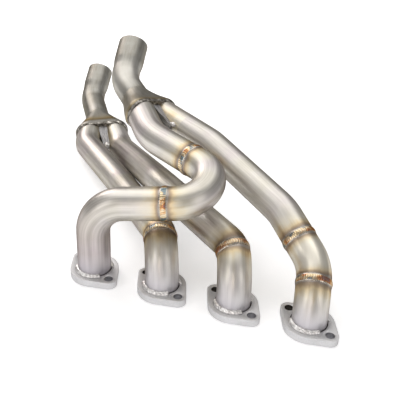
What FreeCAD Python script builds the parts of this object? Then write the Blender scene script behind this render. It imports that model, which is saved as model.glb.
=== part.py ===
import FreeCAD, Part
import math
import os
from FreeCAD import Vector

# Tubular exhaust header for an inline four: four primaries join in two pairs, each pair with its own outlet.
# Millimetres. The origin is the centre of port 1 on its sealing face, X runs along the row of ports and Z
# points away from the cylinder head, so the header lies here on its four flanges and on its lowest tubes.

# Tube stock and the bend radii of its centreline
TUBE_OD = 42.4
TUBE_WALL = 1.5
TIGHT_BEND = 42.5
CLOSE_BEND = 63.5
EASY_BEND = 85.0
SWEPT_BEND = 127.0

# Port flanges
PORT_SPACING = 94.0
FLANGE_THICKNESS = 10.0
FLANGE_ROUND = 31.0
FLANGE_EAR = 10.5
FLANGE_EDGE_ROUND = 0.8
BOLT_SPACING = 64.0
BOLT_HOLE = 11.0
BOLT_HOLE_CHAMFER = 0.7
BOLT_LINE_ANGLE = -30.0
SOCKET_LEDGE = 4.0
SOCKET_CLEARANCE = 0.15
SOCKET_CHAMFER = 1.2

# Welds
FLANGE_BEAD_LEG = 3.8
FLANGE_BEAD_FULLNESS = 0.62
FLANGE_BEAD_SWEEP = 114.0
FLANGE_BEAD_OFFSET = 18.0
BUTT_BEAD_WIDTH = 9.5
BUTT_BEAD_HEIGHT = 1.1
BUTT_ROOT_GAP = 1.0
MOUTH_BEAD_LENGTH = 4.0
MOUTH_BEAD_SPREAD = 1.0
MOUTH_BEAD_LAND = 0.5

# Primary 1 climbs from its port, crosses the row, turns back in a U and runs to the right collector
P1_RISE = 104.0
P1_TURN_X = 203.0
P1_TURN_Y = 53.0
P1_TURN_Z = 124.0
P1_ENTRY_X = 18.0
P1_ENTRY_Y = 143.0
P1_ENTRY_Z = 141.0
P1_WELD_BEFORE_TURN = 9.0
P1_WELD_AFTER_TURN = 15.0

# Primary 2 leans over at once and runs low to the left collector
P2_LEG = 1.6
P2_LEAN_HEADING = -26.1
P2_LEAN_CLIMB = 8.5
P2_LEAN_LENGTH = 5.0
P2_SWEEP_X = -49.0
P2_SWEEP_Y = 183.0
P2_SWEEP_UNDERSIDE = 12.8
P2_ENTRY_X = -169.0
P2_ENTRY_Y = 301.0
P2_ENTRY_UNDERSIDE = 6.3

# Primary 3 rises a little higher, then runs down beside primary 2
P3_LEG = 4.4
P3_LEAN_HEADING = -20.5
P3_LEAN_CLIMB = 32.2
P3_LEAN_LENGTH = 7.5
P3_SWEEP_X = 40.0
P3_SWEEP_Y = 131.0
P3_SWEEP_UNDERSIDE = 55.5
P3_ENTRY_X = -116.5
P3_ENTRY_Y = 328.5
P3_ENTRY_UNDERSIDE = -1.8
P3_WELD_INTO_BEND = 12.5

# Primary 4 leans, climbs steadily and runs above the others to the right collector
P4_LEG = 0.5
P4_LEAN_HEADING = -9.8
P4_LEAN_CLIMB = 33.0
P4_LEAN_LENGTH = 8.0
P4_EASE_X = 219.0
P4_EASE_Y = 92.0
P4_EASE_Z = 97.0
P4_ENTRY_X = 93.0
P4_ENTRY_Y = 177.0
P4_ENTRY_Z = 130.0
P4_WELD_AFTER_BEND = 20.0

# Merge collectors: an oval mouth over two tubes side by side, drawn down to one round pipe
TUBE_SIDE_GAP = 0.3
MOUTH_CLEARANCE = 0.8
MOUTH_EASE = 1.8
MOUTH_DEPTH = 4.0
TUBE_INSERTION = 3.0
TUBE_SEAM_GAP = 0.4
TUBE_SEAM_LENGTH = 4.0
COLLECTOR_LENGTH = 46.0
COLLECTOR_WALL = 1.5
COLLECTOR_TAPER_POWER = 1.3
COLLECTOR_SECTIONS = 7
OUTLINE_POINTS = 40
LEFT_MOUTH_X = -164.0
LEFT_MOUTH_Y = 349.0
LEFT_MOUTH_Z = 32.0
LEFT_HEADING = -36.7
LEFT_CLIMB = 11.4
LEFT_ROLL = 0.0
LEFT_TURN = 1.0
RIGHT_MOUTH_X = -9.0
RIGHT_MOUTH_Y = 207.0
RIGHT_MOUTH_Z = 147.0
RIGHT_HEADING = -62.4
RIGHT_CLIMB = 9.1
RIGHT_ROLL = -14.6
RIGHT_TURN = 15.0

# Filler blocks close the valley between each pair of tubes, above and below
FILLER_LENGTH = 46.0
FILLER_WIDTH = 10.4
FILLER_SUNK_AT_MOUTH = 4.4
FILLER_SUNK_AT_TIP = 17.2

# Outlet pipes: one bend, then a swaged slip end
OUTLET_BEND = 53.0
OUTLET_HEADING = -10.0
OUTLET_CLIMB = 34.5
LEFT_OUTLET_LEAD = 50.5
RIGHT_OUTLET_LEAD = 23.0
OUTLET_RUN = 52.5
SLIP_CLEARANCE = 0.1
SLIP_LENGTH = 48.0
SLIP_TAPER = 8.0

TUBE_RADIUS = TUBE_OD / 2
MOUTH_HALF_SPACING = TUBE_RADIUS + TUBE_SIDE_GAP
HALF_TURN = 180.0
FULL_TURN = 360.0
UP = Vector(0, 0, 1)


def heading(azimuth, climb):
    """Unit vector turned from +Y toward +X by azimuth and raised by climb, in degrees."""
    a = math.radians(azimuth)
    c = math.radians(climb)
    return Vector(math.sin(a) * math.cos(c), math.cos(a) * math.cos(c), math.sin(c))


def tangent_length(before, after, radius):
    return radius * math.tan(before.getAngle(after) / 2)


class Route:
    """A tube centreline of straight runs joined by tangent arcs."""

    def __init__(self, points, radii):
        self.segments = []
        self.bend_start = []
        self.bend_end = []
        length = 0.0
        start = points[0]
        for k in range(1, len(points) - 1):
            before = (points[k] - points[k - 1]).normalize()
            after = (points[k + 1] - points[k]).normalize()
            turn = before.getAngle(after)
            reach = tangent_length(before, after, radii[k - 1])
            enter = points[k] - before * reach
            leave = points[k] + after * reach
            inward = (after - before * before.dot(after)).normalize()
            self.segments.append(("line", start, before, (enter - start).Length, None))
            length += (enter - start).Length
            self.bend_start.append(length)
            self.segments.append(("arc", enter, before, radii[k - 1] * turn, (inward, radii[k - 1])))
            length += radii[k - 1] * turn
            self.bend_end.append(length)
            start = leave
        last = (points[-1] - points[-2]).normalize()
        self.segments.append(("line", start, last, (points[-1] - start).Length, None))
        self.length = length + (points[-1] - start).Length

    @staticmethod
    def _along(segment, distance):
        kind, origin, direction, _, bend = segment
        if kind == "line":
            return origin + direction * distance, direction
        inward, radius = bend
        angle = distance / radius
        point = origin + direction * (radius * math.sin(angle)) + inward * (radius * (1 - math.cos(angle)))
        return point, direction * math.cos(angle) + inward * math.sin(angle)

    def at(self, station):
        """Point and direction at a distance along the centreline."""
        for segment in self.segments:
            if station <= segment[3]:
                return self._along(segment, station)
            station -= segment[3]
        return self._along(self.segments[-1], self.segments[-1][3] + station)

    def wire(self, start, end):
        edges = []
        offset = 0.0
        for segment in self.segments:
            a = max(start - offset, 0.0)
            b = min(end - offset, segment[3])
            if b - a > 0.001:
                first = self._along(segment, a)[0]
                last = self._along(segment, b)[0]
                if segment[0] == "line":
                    edges.append(Part.LineSegment(first, last).toShape())
                else:
                    middle = self._along(segment, (a + b) / 2)[0]
                    edges.append(Part.Arc(first, middle, last).toShape())
            offset += segment[3]
        return Part.Wire(edges)

    def rod(self, start, end, radius):
        point, direction = self.at(start)
        ring = Part.Wire(Part.Circle(point, direction, radius).toShape())
        return self.wire(start, end).makePipeShell([ring], True, True)

    def tube(self, start, end, radius, wall):
        return self.rod(start, end, radius).cut(self.rod(start, end, radius - wall))


class Mouth:
    """The frame of a collector mouth: its centre, its axis and the line from tube to tube."""

    def __init__(self, centre, azimuth, climb, roll):
        self.centre = centre
        self.axis = heading(azimuth, climb)
        level = self.axis.cross(UP).normalize()
        raised = level.cross(self.axis)
        angle = math.radians(roll)
        self.across = level * math.cos(angle) + raised * math.sin(angle)
        self.top = self.across.cross(self.axis)
        self.left = centre - self.across * MOUTH_HALF_SPACING
        self.right = centre + self.across * MOUTH_HALF_SPACING

    def place(self, shape):
        """Moves a shape drawn with X to the left, Y up and Z along the axis into the mouth's frame."""
        placed = shape.copy()
        placed.Placement = FreeCAD.Placement(FreeCAD.Matrix(
            -self.across.x, self.top.x, self.axis.x, self.centre.x,
            -self.across.y, self.top.y, self.axis.y, self.centre.y,
            -self.across.z, self.top.z, self.axis.z, self.centre.z,
            0, 0, 0, 1))
        return placed


def leaning_start(port_x, leg, azimuth, climb, lean, next_radius, following):
    """First two corners of a primary that leans over close to its flange."""
    direction = heading(azimuth, climb)
    reach = tangent_length(UP, direction, TIGHT_BEND)
    first = Vector(port_x, 0, FLANGE_THICKNESS + leg + reach)
    second = first + direction * (reach + lean)
    for _ in range(12):
        after = (following - second).normalize()
        second = first + direction * (reach + lean + tangent_length(direction, after, next_radius))
    return first, second


def slot_outline(half_spacing, radius, height):
    """Smooth closed curve round two circles side by side, at a height along the mouth axis."""
    quarter = math.pi * radius / 2
    flat = 2 * half_spacing
    perimeter = 4 * quarter + 2 * flat
    points = []
    for k in range(OUTLINE_POINTS):
        travel = perimeter * k / OUTLINE_POINTS
        side = 1
        if travel > quarter + flat / 2 and travel <= 3 * quarter + 1.5 * flat:
            side = -1
        if side == 1 and travel > perimeter / 2:
            travel -= perimeter
        if side == -1:
            travel -= perimeter / 2
        if abs(travel) <= quarter:
            x = half_spacing + radius * math.cos(travel / radius)
            y = radius * math.sin(travel / radius)
        else:
            x = half_spacing - (abs(travel) - quarter)
            y = math.copysign(radius, travel)
        points.append(Vector(side * x, side * y, height))
    curve = Part.BSplineCurve()
    curve.interpolate(points, PeriodicFlag=True)
    return Part.Wire(curve.toShape())


def turned(axis, toward, angle, length):
    """Offset and direction at the end of an arc of this length that turns axis toward another direction."""
    inward = (toward - axis * axis.dot(toward)).normalize()
    radius = length / angle
    offset = axis * (radius * math.sin(angle)) + inward * (radius * (1 - math.cos(angle)))
    return offset, axis * math.cos(angle) + inward * math.sin(angle)


def collector_body(offset, toward, turn):
    """Loft of the collector grown by offset: an oval sleeve, then a formed transition that turns as it
    narrows to the round end. Toward is the outlet's direction in the mouth's frame."""
    half = MOUTH_HALF_SPACING + MOUTH_EASE
    mouth_radius = TUBE_RADIUS + MOUTH_CLEARANCE + offset
    end_radius = TUBE_RADIUS - COLLECTOR_WALL + offset
    sections = [slot_outline(half, mouth_radius, 0), slot_outline(half, mouth_radius, MOUTH_DEPTH / 2)]
    for k in range(COLLECTOR_SECTIONS + 1):
        t = k / COLLECTOR_SECTIONS
        blend = 1 - (1 - t) ** COLLECTOR_TAPER_POWER
        section = slot_outline(half * (1 - blend), mouth_radius + (end_radius - mouth_radius) * blend, 0)
        place = FreeCAD.Placement(Vector(0, 0, MOUTH_DEPTH), FreeCAD.Rotation())
        if k:
            travel = (COLLECTOR_LENGTH - MOUTH_DEPTH) * t
            move, direction = turned(UP, toward, turn * t, travel)
            place = FreeCAD.Placement(move + Vector(0, 0, MOUTH_DEPTH), FreeCAD.Rotation(UP, direction))
        section.Placement = place
        sections.append(section)
    return Part.makeLoft(sections, True, False)


def flange(port_x):
    """Two-bolt plate: a round middle with flat flanks running out to an ear at each bolt."""
    half = BOLT_SPACING / 2
    lean = math.acos((FLANGE_ROUND - FLANGE_EAR) / half)
    c = math.cos(lean)
    s = math.sin(lean)

    def corner(side, up):
        ear = Vector(side * (half + FLANGE_EAR * c), up * FLANGE_EAR * s, 0)
        middle = Vector(side * FLANGE_ROUND * c, up * FLANGE_ROUND * s, 0)
        return ear, middle

    ear_ru, mid_ru = corner(1, 1)
    ear_lu, mid_lu = corner(-1, 1)
    ear_ld, mid_ld = corner(-1, -1)
    ear_rd, mid_rd = corner(1, -1)
    outline = Part.Wire([
        Part.Arc(ear_rd, Vector(half + FLANGE_EAR, 0, 0), ear_ru).toShape(),
        Part.LineSegment(ear_ru, mid_ru).toShape(),
        Part.Arc(mid_ru, Vector(0, FLANGE_ROUND, 0), mid_lu).toShape(),
        Part.LineSegment(mid_lu, ear_lu).toShape(),
        Part.Arc(ear_lu, Vector(-half - FLANGE_EAR, 0, 0), ear_ld).toShape(),
        Part.LineSegment(ear_ld, mid_ld).toShape(),
        Part.Arc(mid_ld, Vector(0, -FLANGE_ROUND, 0), mid_rd).toShape(),
        Part.LineSegment(mid_rd, ear_rd).toShape()])
    plate = Part.Face(outline).extrude(Vector(0, 0, FLANGE_THICKNESS))
    rims = [e for e in plate.Edges if abs(e.BoundBox.ZMax - e.BoundBox.ZMin) < 0.01]
    plate = plate.makeFillet(FLANGE_EDGE_ROUND, rims)
    gas_bore = Part.makeCylinder(TUBE_RADIUS - TUBE_WALL, FLANGE_THICKNESS)
    socket = Part.makeCylinder(TUBE_RADIUS + SOCKET_CLEARANCE, FLANGE_THICKNESS, Vector(0, 0, SOCKET_LEDGE))
    lead_in = Part.makeCone(
        TUBE_RADIUS + SOCKET_CLEARANCE, TUBE_RADIUS + SOCKET_CLEARANCE + SOCKET_CHAMFER, SOCKET_CHAMFER,
        Vector(0, 0, FLANGE_THICKNESS - SOCKET_CHAMFER))
    plate = plate.cut(gas_bore).cut(socket).cut(lead_in)
    for side in (1, -1):
        centre = Vector(side * half, 0, 0)
        plate = plate.cut(Part.makeCylinder(BOLT_HOLE / 2, FLANGE_THICKNESS, centre))
        sink = Part.makeCone(
            BOLT_HOLE / 2, BOLT_HOLE / 2 + 2 * BOLT_HOLE_CHAMFER, 2 * BOLT_HOLE_CHAMFER,
            centre + Vector(0, 0, FLANGE_THICKNESS - BOLT_HOLE_CHAMFER))
        plate = plate.cut(sink)
    plate.rotate(Vector(0, 0, 0), UP, BOLT_LINE_ANGLE)
    plate.translate(Vector(port_x, 0, 0))
    return plate


def flange_bead(port_x, start_angle, pipe):
    """Fillet weld between a tube and the top of its flange, over one of the two long sides. Its root fills
    the socket's chamfer, which stays open between the two welds."""
    root = Vector(TUBE_RADIUS, 0, FLANGE_THICKNESS - SOCKET_CHAMFER)
    seat = Vector(TUBE_RADIUS + SOCKET_CLEARANCE, 0, FLANGE_THICKNESS - SOCKET_CHAMFER)
    lip = Vector(TUBE_RADIUS + SOCKET_CLEARANCE + SOCKET_CHAMFER, 0, FLANGE_THICKNESS)
    out = Vector(TUBE_RADIUS + FLANGE_BEAD_LEG, 0, FLANGE_THICKNESS)
    high = Vector(TUBE_RADIUS, 0, FLANGE_THICKNESS + FLANGE_BEAD_LEG)
    swell = FLANGE_BEAD_LEG * FLANGE_BEAD_FULLNESS
    crown = Vector(TUBE_RADIUS + swell, 0, FLANGE_THICKNESS + swell)
    section = Part.Face(Part.Wire([
        Part.LineSegment(root, seat).toShape(),
        Part.LineSegment(seat, lip).toShape(),
        Part.LineSegment(lip, out).toShape(),
        Part.Arc(out, crown, high).toShape(),
        Part.LineSegment(high, root).toShape()]))
    bead = section.revolve(Vector(0, 0, 0), UP, FLANGE_BEAD_SWEEP)
    bead.rotate(Vector(0, 0, 0), UP, start_angle)
    bead.translate(Vector(port_x, 0, 0))
    return bead.cut(pipe)


def butt_bead(route, station):
    """Ring weld: a crown over two tube ends and a root that fills the gap between them."""
    half = BUTT_BEAD_WIDTH / 2
    gap = BUTT_ROOT_GAP / 2
    bore = TUBE_RADIUS - TUBE_WALL
    crown = [
        Part.LineSegment(Vector(-half, TUBE_RADIUS, 0), Vector(-gap, TUBE_RADIUS, 0)).toShape(),
        Part.LineSegment(Vector(-gap, TUBE_RADIUS, 0), Vector(-gap, bore, 0)).toShape(),
        Part.LineSegment(Vector(-gap, bore, 0), Vector(gap, bore, 0)).toShape(),
        Part.LineSegment(Vector(gap, bore, 0), Vector(gap, TUBE_RADIUS, 0)).toShape(),
        Part.LineSegment(Vector(gap, TUBE_RADIUS, 0), Vector(half, TUBE_RADIUS, 0)).toShape(),
        Part.Arc(
            Vector(half, TUBE_RADIUS, 0), Vector(0, TUBE_RADIUS + BUTT_BEAD_HEIGHT, 0),
            Vector(-half, TUBE_RADIUS, 0)).toShape()]
    ring = Part.Face(Part.Wire(crown)).revolve(Vector(0, 0, 0), Vector(1, 0, 0), FULL_TURN)
    point, direction = route.at(station)
    ring.Placement = FreeCAD.Placement(point, FreeCAD.Rotation(Vector(1, 0, 0), direction))
    return ring


def trim_to_mouth(pipe, mouth, side):
    """Cuts a tube square inside its collector and along the seam with its neighbour."""
    wide = 2 * TUBE_OD
    past = Part.makeBox(2 * wide, wide, wide, Vector(-wide, -wide / 2, TUBE_INSERTION))
    seam = TUBE_SEAM_GAP / 2 - wide if side > 0 else -TUBE_SEAM_GAP / 2
    beyond = Part.makeBox(wide, wide, wide, Vector(seam, -wide / 2, -TUBE_SEAM_LENGTH))
    return pipe.cut(mouth.place(past)).cut(mouth.place(beyond))


parts = {}
left_mouth = Mouth(
    Vector(LEFT_MOUTH_X, LEFT_MOUTH_Y, LEFT_MOUTH_Z), LEFT_HEADING, LEFT_CLIMB, LEFT_ROLL)
right_mouth = Mouth(
    Vector(RIGHT_MOUTH_X, RIGHT_MOUTH_Y, RIGHT_MOUTH_Z), RIGHT_HEADING, RIGHT_CLIMB, RIGHT_ROLL)
ports = [k * PORT_SPACING for k in range(4)]
ledge = [Vector(x, 0, SOCKET_LEDGE) for x in ports]


def past_mouth(entry, end):
    """Carries a tube's last run beyond its mouth, to be trimmed there."""
    return end + (end - entry).normalize() * TUBE_RADIUS


# Centrelines
p1_turn = Vector(P1_TURN_X, P1_TURN_Y, P1_TURN_Z)
p1_entry = Vector(P1_ENTRY_X, P1_ENTRY_Y, P1_ENTRY_Z)
route_1 = Route(
    [ledge[0], Vector(ports[0], 0, P1_RISE), p1_turn, p1_entry, past_mouth(p1_entry, right_mouth.left)],
    [TIGHT_BEND, TIGHT_BEND, EASY_BEND])

p2_sweep = Vector(P2_SWEEP_X, P2_SWEEP_Y, TUBE_RADIUS + P2_SWEEP_UNDERSIDE)
p2_entry = Vector(P2_ENTRY_X, P2_ENTRY_Y, TUBE_RADIUS + P2_ENTRY_UNDERSIDE)
p2_first, p2_second = leaning_start(
    ports[1], P2_LEG, P2_LEAN_HEADING, P2_LEAN_CLIMB, P2_LEAN_LENGTH, TIGHT_BEND, p2_sweep)
route_2 = Route(
    [ledge[1], p2_first, p2_second, p2_sweep, p2_entry, past_mouth(p2_entry, left_mouth.left)],
    [TIGHT_BEND, TIGHT_BEND, SWEPT_BEND, CLOSE_BEND])

p3_sweep = Vector(P3_SWEEP_X, P3_SWEEP_Y, TUBE_RADIUS + P3_SWEEP_UNDERSIDE)
p3_entry = Vector(P3_ENTRY_X, P3_ENTRY_Y, TUBE_RADIUS + P3_ENTRY_UNDERSIDE)
p3_first, p3_second = leaning_start(
    ports[2], P3_LEG, P3_LEAN_HEADING, P3_LEAN_CLIMB, P3_LEAN_LENGTH, TIGHT_BEND, p3_sweep)
route_3 = Route(
    [ledge[2], p3_first, p3_second, p3_sweep, p3_entry, past_mouth(p3_entry, left_mouth.right)],
    [TIGHT_BEND, TIGHT_BEND, SWEPT_BEND, CLOSE_BEND])

p4_ease = Vector(P4_EASE_X, P4_EASE_Y, P4_EASE_Z)
p4_entry = Vector(P4_ENTRY_X, P4_ENTRY_Y, P4_ENTRY_Z)
p4_first, p4_second = leaning_start(
    ports[3], P4_LEG, P4_LEAN_HEADING, P4_LEAN_CLIMB, P4_LEAN_LENGTH, CLOSE_BEND, p4_ease)
route_4 = Route(
    [ledge[3], p4_first, p4_second, p4_ease, p4_entry, past_mouth(p4_entry, right_mouth.right)],
    [TIGHT_BEND, CLOSE_BEND, EASY_BEND, SWEPT_BEND])

# Butt welds, named by the tube and counted from its port
stations = {
    1: [route_1.bend_start[1] - P1_WELD_BEFORE_TURN, route_1.bend_end[1] + P1_WELD_AFTER_TURN],
    2: [route_2.bend_end[0] + P2_LEAN_LENGTH / 2],
    3: [route_3.bend_start[1] + P3_WELD_INTO_BEND],
    4: [route_4.bend_end[0] + P4_LEAN_LENGTH / 2, route_4.bend_end[1] + P4_WELD_AFTER_BEND]}
routes = {1: route_1, 2: route_2, 3: route_3, 4: route_4}
welds_on_bends = (2, 3)
names = {
    1: ["elbow", "u_bend", "run"],
    2: ["elbow", "run"],
    3: ["elbow", "run"],
    4: ["elbow", "link", "run"]}
mouths = {1: (right_mouth, 1), 2: (left_mouth, 1), 3: (left_mouth, -1), 4: (right_mouth, -1)}

rods = {}
for number, route in routes.items():
    cuts = [0.0] + stations[number] + [route.length]
    mouth, side = mouths[number]
    for k, name in enumerate(names[number]):
        start = cuts[k] + (BUTT_ROOT_GAP / 2 if k else 0.0)
        end = cuts[k + 1] - (BUTT_ROOT_GAP / 2 if k + 1 < len(names[number]) else 0.0)
        piece = route.tube(start, end, TUBE_RADIUS, TUBE_WALL)
        rods[(number, k)] = route.rod(start, end, TUBE_RADIUS)
        if name == "run":
            piece = trim_to_mouth(piece, mouth, side)
        parts["primary_%d_%s" % (number, name)] = piece
    for k, station in enumerate(stations[number]):
        bead = butt_bead(route, station)
        if number in welds_on_bends:
            bead = bead.cut(rods[(number, k)]).cut(rods[(number, k + 1)])
        parts["primary_%d_weld_%d" % (number, k + 1)] = bead

# Flanges and their two fillet welds each
for number, x in enumerate(ports, 1):
    parts["flange_%d" % number] = flange(x)
    front = BOLT_LINE_ANGLE - FLANGE_BEAD_OFFSET - FLANGE_BEAD_SWEEP
    parts["flange_%d_front_weld" % number] = flange_bead(x, front, rods[(number, 0)])
    parts["flange_%d_rear_weld" % number] = flange_bead(x, front + HALF_TURN, rods[(number, 0)])

# Collectors with their fillers and mouth welds
leave = heading(OUTLET_HEADING, OUTLET_CLIMB)
for name, mouth, turn in (
        ("left", left_mouth, math.radians(LEFT_TURN)),
        ("right", right_mouth, math.radians(RIGHT_TURN))):
    toward = Vector(-leave.dot(mouth.across), leave.dot(mouth.top), leave.dot(mouth.axis))
    shell = collector_body(COLLECTOR_WALL, toward, turn).cut(collector_body(0, toward, turn))
    parts[name + "_collector"] = mouth.place(shell)
    neighbours = [rods[(number, len(names[number]) - 1)] for number in mouths if mouths[number][0] is mouth]
    fillers = []
    for side, word in ((1, "upper"), (-1, "lower")):
        profile = Part.makePolygon([
            Vector(-FILLER_WIDTH / 2, 0, 0),
            Vector(-FILLER_WIDTH / 2, side * (TUBE_RADIUS - FILLER_SUNK_AT_MOUTH), 0),
            Vector(-FILLER_WIDTH / 2, side * (TUBE_RADIUS - FILLER_SUNK_AT_TIP), -FILLER_LENGTH),
            Vector(-FILLER_WIDTH / 2, 0, -FILLER_LENGTH),
            Vector(-FILLER_WIDTH / 2, 0, 0)])
        block = mouth.place(Part.Face(profile).extrude(Vector(FILLER_WIDTH, 0, 0)))
        block = block.cut(neighbours[0]).cut(neighbours[1])
        fillers.append(block)
        parts["%s_%s_filler" % (name, word)] = block
    half = MOUTH_HALF_SPACING + MOUTH_EASE
    rim = TUBE_RADIUS + MOUTH_CLEARANCE + COLLECTOR_WALL
    bead = Part.makeLoft([
        slot_outline(half + MOUTH_BEAD_SPREAD, TUBE_RADIUS + MOUTH_BEAD_LAND, -MOUTH_BEAD_LENGTH),
        slot_outline(half, rim, 0)], True, True)
    bead = mouth.place(bead).cut(neighbours[0]).cut(neighbours[1])
    for block in fillers:
        bead = bead.cut(block)
    parts[name + "_mouth_weld"] = bead

# Outlets start on the round end of each collector
outlet_bore = TUBE_RADIUS - TUBE_WALL
slip_bore = TUBE_RADIUS + SLIP_CLEARANCE
for name, mouth, turn, lead in (
        ("left", left_mouth, math.radians(LEFT_TURN), LEFT_OUTLET_LEAD),
        ("right", right_mouth, math.radians(RIGHT_TURN), RIGHT_OUTLET_LEAD)):
    offset, along = turned(mouth.axis, leave, turn, COLLECTOR_LENGTH - MOUTH_DEPTH)
    start = mouth.centre + mouth.axis * MOUTH_DEPTH + offset
    reach = tangent_length(along, leave, OUTLET_BEND)
    corner = start + along * (lead + reach)
    route = Route([start, corner, corner + leave * (reach + OUTLET_RUN)], [OUTLET_BEND])
    plain = route.length - SLIP_LENGTH
    body = route.tube(0, plain, TUBE_RADIUS, TUBE_WALL)
    section = Part.Face(Part.makePolygon([
        Vector(outlet_bore, 0, 0),
        Vector(TUBE_RADIUS, 0, 0),
        Vector(slip_bore + TUBE_WALL, 0, SLIP_TAPER),
        Vector(slip_bore + TUBE_WALL, 0, SLIP_LENGTH),
        Vector(slip_bore, 0, SLIP_LENGTH),
        Vector(slip_bore, 0, SLIP_TAPER),
        Vector(outlet_bore, 0, 0)]))
    slip = section.revolve(Vector(0, 0, 0), UP, FULL_TURN)
    slip.Placement = FreeCAD.Placement(route.at(plain)[0], FreeCAD.Rotation(UP, leave))
    parts[name + "_outlet"] = body.fuse(slip)

os.makedirs("parts", exist_ok=True)
for name, shape in parts.items():
    solids = shape.Solids
    solid = solids[0] if len(solids) == 1 else Part.makeCompound(solids)
    solid.exportStep("parts/%s.step" % name)
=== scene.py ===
import math

import bmesh
import bpy
from mathutils import Matrix, Vector, noise


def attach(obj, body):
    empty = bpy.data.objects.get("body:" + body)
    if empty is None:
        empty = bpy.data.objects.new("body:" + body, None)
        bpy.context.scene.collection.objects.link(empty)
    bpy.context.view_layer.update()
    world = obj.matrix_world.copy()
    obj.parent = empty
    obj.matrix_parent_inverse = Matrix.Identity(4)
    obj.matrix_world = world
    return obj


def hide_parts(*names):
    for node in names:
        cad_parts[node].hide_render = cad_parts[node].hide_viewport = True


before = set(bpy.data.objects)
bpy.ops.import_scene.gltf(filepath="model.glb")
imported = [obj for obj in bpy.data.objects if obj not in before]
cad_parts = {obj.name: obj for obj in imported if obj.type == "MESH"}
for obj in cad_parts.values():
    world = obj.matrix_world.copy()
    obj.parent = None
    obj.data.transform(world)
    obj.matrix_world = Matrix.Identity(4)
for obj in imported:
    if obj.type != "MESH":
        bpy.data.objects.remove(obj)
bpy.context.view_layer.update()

# Sizes in millimetres and angles in degrees, as in the part's source
MM = 0.001
TUBE_RADIUS = 21.2
TUBE_WALL = 1.5
TIGHT_BEND = 42.5
CLOSE_BEND = 63.5
EASY_BEND = 85.0
SWEPT_BEND = 127.0
PORT_SPACING = 94.0
FLANGE_THICKNESS = 10.0
SOCKET_LEDGE = 4.0
BOLT_SPACING = 64.0
BOLT_HOLE = 11.0
BOLT_LINE_ANGLE = -30.0
BEAD_WIDTH = 9.5
BEAD_HEIGHT = 1.1
ROOT_GAP = 1.0
MOUTH_HALF_SPACING = 21.5
MOUTH_CLEARANCE = 0.8
MOUTH_EASE = 1.8
MOUTH_DEPTH = 4.0
TUBE_INSERTION = 3.0
TUBE_SEAM_GAP = 0.4
COLLECTOR_LENGTH = 46.0
TAPER_POWER = 1.3
OUTLET_HEADING = -10.0
OUTLET_CLIMB = 34.5
OUTLET_BEND = 53.0
OUTLET_RUN = 52.5
SLIP_LENGTH = 48.0
SLIP_RADIUS = 22.8
FILLER_LENGTH = 46.0
FILLER_WIDTH = 10.4
FILLER_TIP = 4.0

# Forms that only the looks have, in millimetres
SLIP_EASE = 3.0  # how far before the slip end the swage starts
SLIP_BLEND = 17.0  # how long the swage is
BEAD_SINK = 0.3  # how far a butt weld's edges are sunk in the tubes
DAB_PITCH = 4.2  # from dab to dab of a fillet weld
DAB_RISE_WIDTH = 1.5  # how far from the tube the dabs have their full height
MOUTH_WELD_LUMPS = 0.5  # how far the lumps of a mouth weld stand out
FILLER_OVERLAP = 0.3  # how far a filler bar's widened edges go into the tubes
BLOB_RISE = 1.5  # how far the weld blob at a filler bar's tip lies over the bar
BLOB_RADII = (4.6, 3.4, 5.5)
BLOB_LUMPS = 1.3

# How far trim planes reach along a tube
END_TRIM_REACH = 4 * TUBE_RADIUS
SEAM_TRIM_REACH = 1.2 * TUBE_RADIUS

# Mesh fineness: counts, and lengths in millimetres
RING_SIDES = 56
RING_SPACING = 4.0
COLLECTOR_STEPS = 14
SWAGE_STEPS = 15
SLIP_STEPS = 9
BEAD_DIVISIONS = 12
RIPPLES = 44
STEPS_PER_RIPPLE = 5
FILLET_FINENESS = 1.1
MOUTH_WELD_FINENESS = 1.5
CUT_ROUNDS = 5
LEAN_ROUNDS = 12
NEGLIGIBLE = 1e-6

# Angle in degrees past which an edge is shaded sharp, for formed, beaded and lumpy pieces
SHARP_FORMED = 35.0
SHARP_BEAD = 60.0
SHARP_LUMPY = 80.0

# Millimetres over which a finish changes
FOOT_HEIGHT = 60.0  # a tube's blasted foot
LEG_HEIGHT = 150.0  # a tube's first leg
TUBE_HEAT_REACH = 50.0  # heat bands from a tube's weld
SHEET_HEAT_REACH = 40.0  # heat bands from a collector's mouth
DRIP_REACH = 20.0  # from the weld to where the heat bands drip
WELD_SIDE_REACH = 30.0  # browned metal with painted shade, or polished metal with a painted highlight, beside a weld
OUTLET_REACH = 200.0  # a collector and its outlet
FILLER_HEAT_GAP = 13.0  # how far from a weld a tube counts where it lies beside a filler bar

# Depth of colour of the butt welds of each tube
WELD_COLOUR = {1: 1.0, 2: 0.8, 3: 0.55, 4: 0.85}

UP = Vector((0, 0, 1))


def heading(azimuth, climb):
    """Unit vector turned from +Y toward +X by azimuth and raised by climb, in degrees."""
    a = math.radians(azimuth)
    c = math.radians(climb)
    return Vector((math.sin(a) * math.cos(c), math.cos(a) * math.cos(c), math.sin(c)))


def clamp(value, low=0.0, high=1.0):
    return max(low, min(high, value))


def tangent_length(before, after, radius):
    return radius * math.tan(before.angle(after) / 2)


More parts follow.
